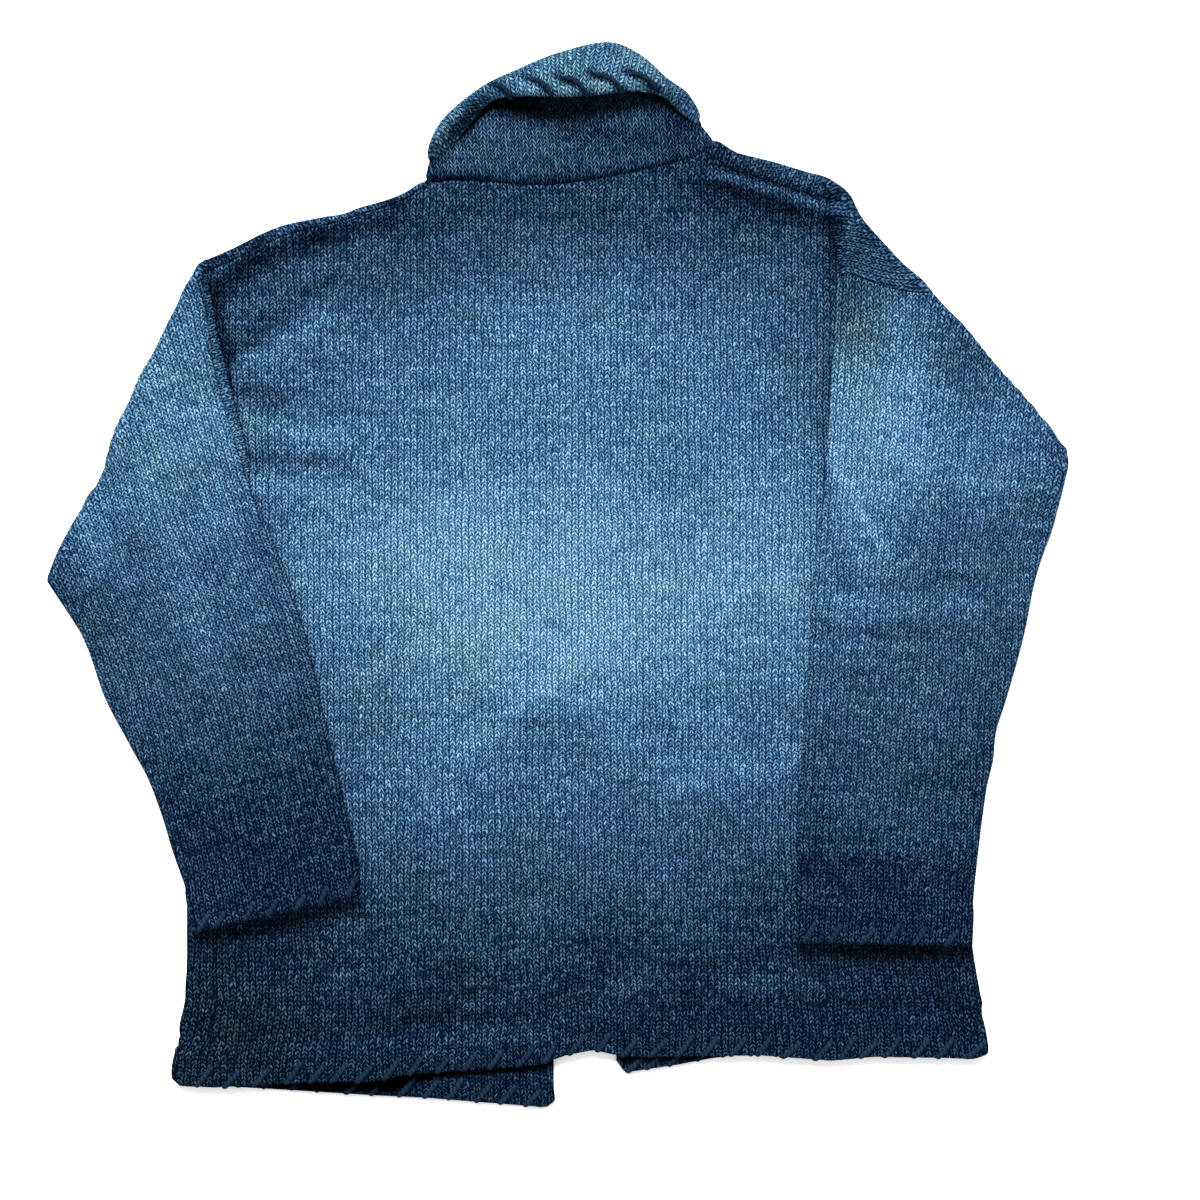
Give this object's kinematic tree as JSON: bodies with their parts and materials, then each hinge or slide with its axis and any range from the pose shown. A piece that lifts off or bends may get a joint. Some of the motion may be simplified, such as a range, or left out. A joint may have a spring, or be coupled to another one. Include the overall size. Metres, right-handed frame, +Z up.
{
  "type": "cardigan sweater",
  "caption": "Hand-knit open cardigan with a turn-over collar, laid face down with both sleeves folded over its back.",
  "frame": {"origin": "centre of the garment's footprint, at the height of the surface it lies on", "axes": "+Z up from the surface; +Y from the hem towards the collar; +X to the right as the back is seen"},
  "size_m": [0.7663, 0.8, 0.0329],
  "materials": {
    "back knit": "matte knit",
    "front_left knit": "matte knit",
    "front_right knit": "matte knit",
    "sleeve_left knit": "matte knit",
    "sleeve_right knit": "matte knit",
    "collar knit": "matte knit"
  },
  "bodies": {
    "root": {"back": "back knit", "front_left": "front_left knit", "front_right": "front_right knit", "sleeve_left": "sleeve_left knit", "sleeve_right": "sleeve_right knit", "collar": "collar knit"}
  },
  "joints": []
}
